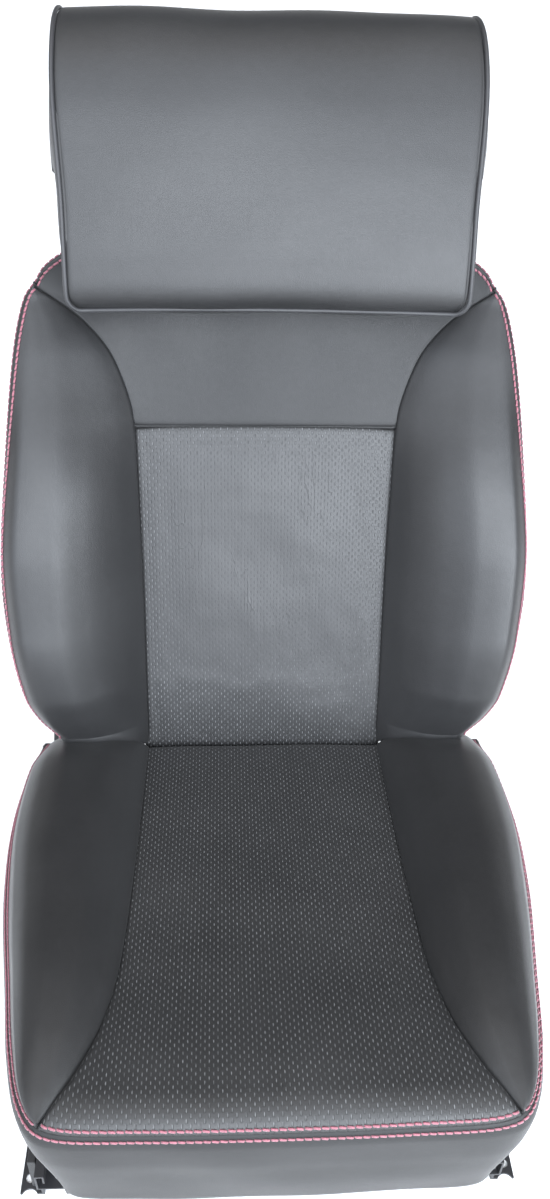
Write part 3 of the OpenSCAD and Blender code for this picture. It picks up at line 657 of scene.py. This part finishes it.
def back_insert():
    u, v = 2 * eased(84) - 1, eased(170)
    U, V = np.meshgrid(u, v)
    top = smooth(np.abs(145.5 * U), [0, 100, 145.5], [390.5, 389.5, 387])
    S = -15 + (top + 15) * V
    X = U * (smooth(S, [-15, 60, 200, 387], [139.6, 140.4, 141.6, 146]) + LAP + 2.5 * step(S, 25, 0))
    bulge = 1.5 * (1 - U**2) * step(S, -10, 90)
    low = np.clip(1 - (S + 15) / 18, 0, 1)
    P = np.stack([X, sink(S) - bulge + 13 * (1 - np.sqrt(1 - low**2)), S], axis=-1)
    relief = waves(P, 1.0, 120, 13)
    return sewn(P, {"u0": (4.5, 2.6), "u1": (4.5, 2.6), "v1": (4, 2.4)}, 1.6, relief)


def back_bolster():
    t, e = eased(72), eased(190)
    T, E = np.meshgrid(t, e)
    lowest = smooth(T, BACK_T, LOW_S)
    S = lowest + (BOLSTER_TOP - lowest) * E
    inner, outer = smooth(S, SEAM_S, SEAM_X), smooth(S, BACK_S, BACK_OUT)
    h = smooth(S, BACK_S, BACK_H)
    wide = smooth(T, BACK_T, [0, 0.17, 0.40, 0.62, 0.86, 1.0])
    full = smooth(T, BACK_T, [0, 0.37, 0.73, 0.94, 1.0, 0.78])
    slim = smooth(T, BACK_T, [0, 0.24, 0.48, 0.68, 0.82, 0.78])
    tall = full + (slim - full) * step(S, 320, 490)
    low = np.clip(1 - (S - lowest) / 9, 0, 1)
    forward = tall * h * (1 - 0.12 * (1 - np.sqrt(1 - low**2)))
    rise = 1.5 * step(S, 380, 410) + 6.5 * np.exp(-np.hypot(247.5 - inner, 541 - S) / 22)
    forward = forward + rise * (1 - T) - sink(S) * (1 - T) ** 2 - 1.5 * step(S, 528, BOLSTER_TOP)
    inner = inner - LAP
    P = np.stack([inner + wide * (outer - inner), -forward, S], axis=-1)
    relief = waves(P, 1.5, 150, 17)
    P, near = sewn(P, {"u0": (5, 2.4), "u1": (4, 2.0)}, 1.5, relief)
    under = []
    for k in BACK_TUCK:
        row = P[0].copy()
        row[:, 1] = row[:, 1] * (1 - k) + 54 * k
        row[:, 2] -= 2.0 * math.sin(math.pi * min(k * 1.3, 1)) + 1.0
        under.append(row)
    return np.concatenate([np.array(under), P]), np.concatenate([np.full((len(under), 72), AWAY), near])


def back_seam():
    """The seam round the backrest and its rear edge, from the right's lower end over the top."""
    side = np.stack([BACK_OUT, 0.78 * np.array(BACK_H), BACK_S], axis=1)
    front = np.vstack([side, SHOULDER])
    rear = np.array([[x, -57, s] for x, s in REAR_EDGE], float)
    both = np.hstack([front, rear])
    other = (both * [-1, 1, 1, -1, 1, 1])[-2::-1]
    line = spline(np.vstack([both, other]), 900)[::-1]
    return line[:, :3] * [1, -1, 1], line[:, 3:] * [1, -1, 1]


def back_band():
    """Rows from the stitched seam to the rear shell; columns along the seam."""
    front, rear = back_seam()
    v = np.concatenate([0.14 * eased(13)[:-1], np.linspace(0.14, 1, 15)])[:, None, None]
    P = front[None] * (1 - v) + rear[None] * v
    out = P[0] - [0, 0, 330]
    out = out / np.linalg.norm(out * [1, 0, 1], axis=1, keepdims=True) * [1, 0, 1]
    belly = 4.5 * np.sin(math.pi * v[..., 0] ** 0.8)
    P = P + out[None] * belly[..., None]
    relief = waves(P, 0.9, 110, 23)
    P, near = sewn(P, {"v0": (4, 2.0)}, 0.0, relief)
    tuck = P[-1][None] - out[None] * 9
    tuck[0, :, 1] += 2
    return np.concatenate([P, tuck]), np.concatenate([near, near[-1:]])


def back_yoke():
    low_line = resample(spline(YOKE_SEAM, 200), 90)
    x = np.linspace(0, 147, 60)
    low_half = np.vstack([np.stack([x, YOKE_LOW - 0.5 * step(x, 60, 147)], axis=1)[:-1], low_line])
    top_half = spline(SHOULDER[::-1][:, [0, 2]], 400)
    # pair the two lines by their share of the way across
    flat_share = 0.46  # of the way, where the lower line leaves the insert's top edge
    t = np.concatenate([np.linspace(0, flat_share, 60)[:-1], np.linspace(flat_share, 1, 90)])
    want = eased(190) * 2 - 1
    lo, hi = (np.stack([np.interp(at, ts, line[:, k]) for k in range(2)], axis=1) for at, ts, line in (
        (np.abs(want), t, low_half), (np.abs(want) ** 1.15, np.linspace(0, 1, 400), top_half)))
    lo[:, 0] *= np.sign(want)
    hi[:, 0] *= np.sign(want)
    v = eased(96)[:, None, None]
    flat = lo[None] * (1 - v) + hi[None] * v
    flat[..., 0] += np.sign(flat[..., 0]) * LAP * (1 - v[..., 0]) ** 6
    X, S = np.abs(flat[..., 0]), flat[..., 1]
    half_width = smooth(S, YOKE_S, YOKE_X)
    dish = 7.0 * np.sin(math.pi * np.clip((S - YOKE_LOW) / 207, 0, 1))
    dish = dish * (1 - np.clip(X / half_width, 0, 1) ** 4)
    forward = 1.5 + 6.5 * np.exp(-gap_to(np.stack([X, S], axis=-1), top_half) / 22)
    forward = forward - dish - 1.5 * step(X, 240, 247)
    P = np.stack([flat[..., 0], -forward, flat[..., 1]], axis=-1)
    relief = waves(P, 1.2, 120, 31)
    return sewn(P, {"v0": (4.5, 2.4), "v1": (4, 2.0)}, 0.0, relief)


# ---------- the headrest ----------

HEAD_SIDE = [[-58, 516], [-70, 528], [-75, 560], [-76, 610], [-75, 660], [-68, 715], [-53, 758],
             [-29, 788], [5, 805], [40, 807], [68, 793], [84, 762], [89, 715], [86, 650], [80, 622],
             [66, 613], [30, 612], [-8, 611], [-17, 600], [-22, 545], [-28, 522], [-42, 513]]
HEAD_HALF = 205.0
CORNER_R = 17.0


def head_half(s):
    """Half width of the front panel, rounded at the lip's lower corners."""
    d = np.clip(CORNER_R - (s - 512), 0, CORNER_R)
    return HEAD_HALF + 5.5 * step(s, 600, 740) - (CORNER_R - np.sqrt(np.maximum(CORNER_R**2 - d**2, 0)))


def head_arch(x, s):
    """The lip's lower edge rises a little in the middle."""
    return 4.0 * (1 - (x / HEAD_HALF) ** 2) * step(s, 600, 512)


def headrest_cover():
    loop = spline(HEAD_SIDE, 261, closed=True)[:-1]
    u = 1 - 2 * eased(90)
    n = len(loop)
    P = np.zeros((90, n, 3))
    halves = head_half(loop[:, 1])
    P[..., 0] = u[:, None] * halves[None]
    P[..., 1], P[..., 2] = loop[None, :, 0], loop[None, :, 1]
    P[..., 2] += head_arch(P[..., 0], P[..., 2])
    m = np.cross(np.gradient(P, axis=0), np.roll(P, -1, axis=1) - np.roll(P, 1, axis=1))
    m /= np.maximum(np.linalg.norm(m, axis=2, keepdims=True), 1e-9)
    m *= np.sign(np.sum(m * (P - [0, 10, 690]), axis=2).mean())
    across = edge_distance(P)
    d = np.minimum(across["v0"], across["v1"])
    near = 1 - np.clip(d / 6, 0, 1)
    out = -3.0 * (1 - np.sqrt(1 - near**2)) + 3.2 * (1 - np.abs(u)[:, None] ** 3) + waves(P, 0.9, 140, 37)
    return P + m * out[..., None], np.minimum(d, 40)


def headrest_gusset():
    """A fan of rings from the middle of the side out to its seam."""
    loop = spline(HEAD_SIDE, 261, closed=True)[:-1]
    halves = head_half(loop[:, 1])
    middle = np.array([-40.0, 645.0])
    r = np.linspace(0.02, 1, 34) ** 0.8
    flat = middle + (loop[None] - middle) * r[:, None, None]
    x = halves[None] - 1.0 + 9.0 * (1 - r[:, None] ** 3.2) * step(flat[..., 1], 505, 590)
    x = np.minimum(x, halves[None] + 9 - 1.5 * r[:, None])
    x = x - 3.0 * np.clip((r[:, None] - 0.95) / 0.05, 0, 1) ** 2
    P = np.stack([x, flat[..., 0], flat[..., 1]], axis=-1)
    P[..., 0] += waves(P, 0.8, 90, 41) * (1 - r[:, None] ** 4)
    near = np.abs(1 - r[:, None]) * 90 * np.ones((1, len(loop)))
    return P, near


def headrest_piping():
    """Round both sides' edges and along the lip's lower edge, with rounded corners."""
    loop = spline(HEAD_SIDE, 261, closed=True)[:-1]
    start = int(np.argmin(np.hypot(loop[:, 0] + 66, loop[:, 1] - 520)))
    loop = np.roll(loop, -start, axis=0)
    end = int(np.argmin(np.hypot(loop[:, 0] - 66, loop[:, 1] - 613)))
    run = loop[:end + 1][::-1]
    run = run[(run[:, 0] > -30) | (run[:, 1] > 530)]
    side = np.stack([head_half(run[:, 1]) + 0.8, run[:, 0], run[:, 1]], axis=1)
    a = np.linspace(0, math.pi / 2, 14)[1:]
    corner = np.stack([191.3 + 14.5 * np.cos(a), -71 + 11.5 * (a / a[-1]) ** 1.3,
                       529 - 14.5 * np.sin(a)], axis=1)
    x = np.linspace(186, 0, 40)
    low = 514.5 - 1.2 * (1 - (x / HEAD_HALF) ** 2) + head_arch(x, 512 + 0 * x)
    bottom = np.vstack([corner, np.stack([x, -59.5 + 0 * x, low], axis=1)])
    half_line = np.vstack([side, bottom])
    line = np.vstack([half_line, (half_line * [-1, 1, 1])[-2::-1]])
    return spline(line[::3], 620)


# ---------- building the soft pieces ----------

def flat_pattern(P):
    """The panel's flat pattern in millimetres, for its perforations."""
    u, v = lengths(P, 1), lengths(P, 0)
    middle = P.shape[1] // 2
    return np.stack([u - u[:, middle:middle + 1], v[:, middle:middle + 1] + 0 * u, 0 * u], axis=-1)


def both_sides(name, P, near, matrix, material, body, wrap=False):
    return [panel(f"{name}_{side}", Q, matrix, material, body, near=N, wrap=wrap, cap=wrap, thick=3.5)
            for side, Q, N in (("left", P, near), ("right", mirrored(P), near[:, ::-1]))]


cushion_cover = panel("cushion_insert_panel", insert_P, CUSHION, insert_leather, "carriage",
                      sew=flat_pattern(insert_P), near=insert_near)
cushion_bolsters = both_sides("cushion_bolster_panel", bolster_P, bolster_near, CUSHION,
                              plain_leather, "carriage")
# Painted shade: the skirt takes the less glossy copy of the leather.
skirt = panel("cushion_skirt_band", skirt_P, CUSHION, shaded_copy_leather, "carriage",
              near=skirt_near, thick=3.5)

back_P, back_near = back_insert()
back_bolster_P, back_bolster_near = back_bolster()
band_P, band_near = back_band()
yoke_P, yoke_near = back_yoke()
back_cover = panel("back_insert_panel", back_P, BACK, insert_leather, "backrest",
                   sew=flat_pattern(back_P), near=back_near, thick=3.0)
back_bolsters = both_sides("back_bolster_panel", back_bolster_P, back_bolster_near, BACK,
                           plain_leather, "backrest")
band = panel("back_side_band", band_P, BACK, plain_leather, "backrest",
             near=band_near, thick=3.5)
# Painted shade: the yoke below the headrest takes the less glossy copy of the leather.
yoke = panel("back_yoke_panel", yoke_P, BACK, shaded_copy_leather, "backrest", near=yoke_near,
             thick=3.0)

s_up, x_in = back_P[..., 2], back_P[..., 0]
# Creases and painted sheen across the middle of the back insert, away from its edges.
creases_and_sheen = step(138 - np.abs(x_in), 6, 60) * step(s_up, 60, 190) * step(386 - s_up, 4, 50)
attribute(back_cover, "creases_and_sheen", creases_and_sheen.ravel())

head_P, head_near = headrest_cover()
gusset_P, gusset_near = headrest_gusset()
head = panel("headrest_front_panel", head_P, BACK, plain_leather, "headrest",
             near=head_near, wrap=True, thick=5.0)
gussets = both_sides("headrest_side_panel", gusset_P, gusset_near, BACK, plain_leather, "headrest",
                     wrap=True)
head_piping = tube("headrest_edge_piping", headrest_piping(), 2.3, BACK, piping_leather, "headrest")

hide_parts("cushion_insert_cover")
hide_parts("cushion_skirt")
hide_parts("back_insert_cover")
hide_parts("back_yoke_cover")
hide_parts("headrest_cover")
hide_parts("headrest_piping")
for k, side in enumerate(("left", "right")):
    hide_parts(f"cushion_bolster_{side}")
    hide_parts(f"back_bolster_{side}")
    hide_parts(f"headrest_gusset_{side}")


# ---------- seam allowances ----------

def allowance(name, line, radius, matrix, body):
    """The folded edges under a seam, as one cord that closes it from below."""
    tube(name, spline(line, 240), radius, matrix, plain_leather, body, 8)


for column, side in ((0, "right"), (-1, "left")):
    allowance(f"cushion_seam_allowance_{side}", insert_P[2:, column] - [0, 0, 2.6], 3.0, CUSHION, "carriage")
    allowance(f"back_seam_allowance_{side}", back_P[:, column] + [0, 2.8, 0], 3.0, BACK, "backrest")
allowance("yoke_seam_allowance", yoke_P[0, 3:-3] + [0, 2.8, 0], 3.0, BACK, "backrest")
rim = outline[(outline[:, 1] < -30)][::24] * [0.985, 0.99]
allowance("cushion_edge_allowance", np.column_stack([rim, seam_z(rim[:, 1]) - 5.5]), 3.4, CUSHION, "carriage")


# ---------- stitching ----------

def two_sides(line, up):
    return [(line, up), ((line * [-1, 1, 1])[::-1], (up * [-1, 1, 1])[::-1])]


bolster_front = bolster_P[:-len(CUSHION_TUCK)]
cushion_rows = [seam_row(insert_P, "v0", ROW, (3, 3))]
cushion_rows += two_sides(*seam_row(bolster_front, "u1", ROW, (4, 4)))
cushion_rows.append(seam_row(skirt_P[:-2], "v0", ROW))
stitched("cushion_stitching", cushion_rows, CUSHION, "carriage")

back_front = back_bolster_P[len(BACK_TUCK):]
back_rows = two_sides(*seam_row(back_front, "u1", ROW, (3, 6)))
back_rows.append(seam_row(yoke_P, "v1", ROW, (3, 3)))
back_rows.append(seam_row(band_P[:-1], "v0", ROW))
stitched("back_stitching", back_rows, BACK, "backrest")


# ---------- foam blocks and hard pieces ----------

def soft_copy(node, name, body):
    """A foam block with rounded edges in place of the plain CAD solid."""
    mesh = frame["nodes"][node].data.copy()
    obj = bpy.data.objects.new(name, mesh)
    scene.collection.objects.link(obj)
    mesh.materials.clear()
    mesh.materials.append(finishes["foam"])
    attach(obj, body)
    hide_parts(node)
    remesh = obj.modifiers.new("even", "REMESH")
    remesh.mode, remesh.voxel_size, remesh.use_smooth_shade = "VOXEL", 0.007, True
    soften = obj.modifiers.new("soften", "SMOOTH")
    soften.factor, soften.iterations = 0.5, 6
    return obj


cushion_block = soft_copy("cushion_foam", "cushion_foam_block", "carriage")
back_block = soft_copy("back_foam", "back_foam_block", "backrest")
head_block = soft_copy("headrest_foam", "headrest_foam_block", "headrest")


def rear_shell():
    """Moulded back of the seat: a shallow dome with a rounded rim."""
    left = [[231, 24], [246, 48], [256, 110], [260, 260], [256, 400], [247, 500], [236, 538],
            [215, 562], [180, 582], [110, 592]]
    loop = spline(left + [[0, 595]] + [[-x, s] for x, s in left[::-1]] + [[-180, 20], [0, 19], [180, 20]],
                  260, closed=True)[:-1]
    middle = np.array([0.0, 300.0])
    r = np.concatenate([[0.02], np.linspace(0.1, 0.86, 18), 1 - 0.12 * (1 - np.linspace(0, 1, 22)) ** 2])
    flat = middle + (loop[None] - middle) * r[:, None, None]
    deep = 60 + 56 * np.sqrt(np.maximum(1 - np.clip((r - 0.86) / 0.14, 0, 1) ** 2.4, 0)) + 5.5 * (1 - r**2)
    step_in = 2.2 * step(r, 0.80, 0.82)
    y = (deep - step_in)[:, None] * np.ones((1, len(loop)))
    P = np.stack([flat[..., 0], y, flat[..., 1]], axis=-1)
    rim = P[-1:].copy()
    rim[..., 1] -= 3
    return np.concatenate([P, rim])


shell_P = rear_shell()
shell = panel("back_shell", shell_P, BACK, finishes["plastic"], "backrest",
              wrap=True, thick=3.0, cap=True)
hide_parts("back_rear_panel")

node_slot = {s["node"]: s["material_slot"] for s in frame["record"]["subparts"]}
WIRES = ("cushion_springs", "lumbar_wires", "recliner_spring", "rail_balls", "headrest_posts")
for name, obj in frame["nodes"].items():
    if obj.hide_render:
        continue
    obj.data.materials.clear()
    obj.data.materials.append(finishes[node_slot[name]])
    weld = obj.modifiers.new("weld", "WELD")
    weld.merge_threshold = 0.00002
    if name in WIRES:
        obj.data.polygons.foreach_set("use_smooth", [True] * len(obj.data.polygons))
        continue
    bevel = obj.modifiers.new("edge", "BEVEL")
    bevel.width, bevel.segments = 0.0006, 2
    bevel.limit_method, bevel.angle_limit = "ANGLE", math.radians(38)
    bevel.harden_normals = False


# ---------- cloth pass ----------

def cloth_pass(objs, frames=14, cap=1.6 * MM):
    """Air pressure inside the sewn panels, held at their seams; no point moves past the cap.

    Each entry is (object, grid shape, pressure, growth, how often the movement is evened out)."""
    waiting = []
    for obj, shape, pressure, grow, even in objs:
        shell_mod = obj.modifiers["shell"]
        thickness = shell_mod.thickness
        obj.modifiers.remove(shell_mod)
        mesh = obj.data
        near = np.zeros(len(mesh.vertices))
        mesh.attributes["seam_near"].data.foreach_get("value", near)
        held = obj.vertex_groups.new(name="seams")
        for i in range(len(near)):
            held.add([i], float(np.clip(1 - (near[i] - 2) / 8, 0.12, 1)), "REPLACE")
        cloth = obj.modifiers.new("cloth", "CLOTH")
        s = cloth.settings
        s.quality, s.mass, s.air_damping = 5, 0.3, 2
        s.tension_stiffness, s.compression_stiffness, s.shear_stiffness = 18, 12, 6
        s.bending_stiffness = 1.2
        s.use_pressure, s.uniform_pressure_force = True, pressure
        s.shrink_min = grow
        s.vertex_group_mass = "seams"
        s.effector_weights.gravity = 0
        cloth.collision_settings.use_collision = False
        waiting.append((obj, cloth, thickness, near, shape, even))
    for k in range(1, frames + 1):
        scene.frame_set(k)
    graph = bpy.context.evaluated_depsgraph_get()
    results = []
    for obj, *_ in waiting:
        made = obj.evaluated_get(graph).data
        moved = np.zeros(len(made.vertices) * 3)
        made.vertices.foreach_get("co", moved)
        results.append(moved.reshape(-1, 3))
    for (obj, cloth, thickness, near, shape, even), moved in zip(waiting, results):
        rest = np.zeros(len(obj.data.vertices) * 3)
        obj.data.vertices.foreach_get("co", rest)
        rest = rest.reshape(-1, 3)
        shift = moved - rest
        size = np.linalg.norm(shift, axis=1, keepdims=True)
        shift *= cap * np.tanh(size / cap) / np.maximum(size, 1e-9)
        shift = shift.reshape(shape)
        for _ in range(even):
            wide = np.pad(shift, ((1, 1), (1, 1), (0, 0)), mode="edge")
            shift = 0.2 * (shift + wide[:-2, 1:-1] + wide[2:, 1:-1] + wide[1:-1, :-2] + wide[1:-1, 2:])
        shift = shift.reshape(-1, 3)
        shift *= np.clip((near[:, None] - 1.5) / 10, 0, 1)
        obj.modifiers.remove(cloth)
        obj.vertex_groups.clear()
        obj.data.vertices.foreach_set("co", (rest + shift).ravel())
        obj.data.update()
        add_shell(obj, thickness)
    scene.frame_set(1)


cloth_pass([(cushion_cover, insert_P.shape, 1.5, -0.001, 45), (back_cover, back_P.shape, 1.5, -0.003, 9),
            (yoke, yoke_P.shape, 1.5, -0.001, 45)]
           + [(o, bolster_P.shape, 2.0, -0.001, 45) for o in cushion_bolsters]
           + [(o, back_bolster_P.shape, 2.0, -0.001, 45) for o in back_bolsters])


# ---------- floor, light and camera ----------

def floor():
    s = Shader("pale_floor", (0.86, 0.86, 0.86), 0.75)
    tone = s.mix(s.span(s.noise(1.2, 2.0), 0.3, 0.7, 0.0, 1.0), (0.85, 0.85, 0.85, 1), (0.88, 0.88, 0.88, 1))
    s.set(s.surface, {"Base Color": tone, "Specular IOR Level": 0.2})
    mesh = bpy.data.meshes.new("studio_floor")
    mesh.from_pydata([(x, y, -0.0006) for x, y in ((-30, -30), (30, -30), (30, 30), (-30, 30))], [],
                     [(0, 1, 2, 3)])
    mesh.materials.append(s.material)
    obj = bpy.data.objects.new("studio_floor", mesh)
    scene.collection.objects.link(obj)


def area_light(name, at, toward, size, power, colour=(1, 1, 1)):
    data = bpy.data.lights.new(name, "AREA")
    data.shape, data.size, data.size_y = "RECTANGLE", *size
    data.energy, data.color = power, colour
    obj = bpy.data.objects.new(name, data)
    scene.collection.objects.link(obj)
    obj.location = at
    obj.rotation_euler = (Vector(toward) - Vector(at)).to_track_quat("-Z", "Y").to_euler()
    obj.visible_camera = False


floor()
area_light("front_softbox", (0.0, -2.6, 2.3), (0.0, 0.3, 0.7), (2.2, 1.6), 90, (0.90, 0.95, 1.0))
area_light("side_window", (1.05, -1.4, 0.9), (0.0, 0.1, 0.6), (1.3, 1.0), 45, (0.88, 0.94, 1.0))
area_light("overhead_softbox", (0.0, 0.4, 3.4), (0.0, 0.2, 0.3), (3.0, 3.0), 8, (1.0, 0.96, 0.92))


def studio_world():
    """Bright in front, where the windows are, pale along the horizon, dim overhead and behind."""
    world = bpy.data.worlds.new("studio")
    world.use_nodes = True
    s = Nodes(world.node_tree, "Generated")
    x, y, z = s.add("ShaderNodeSeparateXYZ", {0: s.place}).outputs

    def ramp(value, *ends):
        return s.span(value, *ends, smooth_step=True)

    front = ramp(y, 0.1, -0.6, 0.0, 1.0)
    low = ramp(z, 0.8, 0.05, 0.34, 1.0)
    side = s.plus(ramp(x, -0.6, 0.2, 0.75, 0.95), ramp(x, 0.3, 0.8, 0.0, -0.5))
    horizon = ramp(z, 0.05, 0.4, 0.8, 0.0)
    windows = s.times(s.times(front, low), s.times(side, 6.4))
    ceiling = s.times(ramp(y, 0.45, 0.05, 0.0, 1.0), ramp(z, 0.45, 0.7, 0.0, 1.0))
    ceiling = s.times(ceiling, ramp(x, -0.6, 0.6, 1.9, 1.2))
    tint = s.mix(front, (1.0, 0.98, 0.96, 1), (0.86, 0.93, 1.04, 1))
    glow = s.plus(s.plus(s.plus(windows, ceiling), horizon), 0.08)
    s.set(s.tree.nodes["Background"], {0: tint, 1: glow})
    scene.world = world


studio_world()
scene.view_settings.view_transform = "Standard"

CAMERA_AT = (-0.04736, -0.70140, 1.15976)
LENS = 30.14
YAW, PITCH, ROLL = (math.radians(a) for a in (-3.611, 36.878, 1.982))
ahead = Vector((-math.sin(YAW) * math.cos(PITCH), math.cos(YAW) * math.cos(PITCH), -math.sin(PITCH)))
level = Vector((math.cos(YAW), math.sin(YAW), 0))
upward = level.cross(ahead)
right = math.cos(ROLL) * level + math.sin(ROLL) * upward
up = -math.sin(ROLL) * level + math.cos(ROLL) * upward
camera = bpy.data.objects.new("camera", bpy.data.cameras.new("camera"))
scene.collection.objects.link(camera)
camera.data.sensor_fit, camera.data.sensor_height = "VERTICAL", 36
camera.data.lens = LENS
axes = Matrix((right, up, -ahead)).transposed().to_4x4()
camera.matrix_world = Matrix.Translation(CAMERA_AT) @ axes
scene.camera = camera
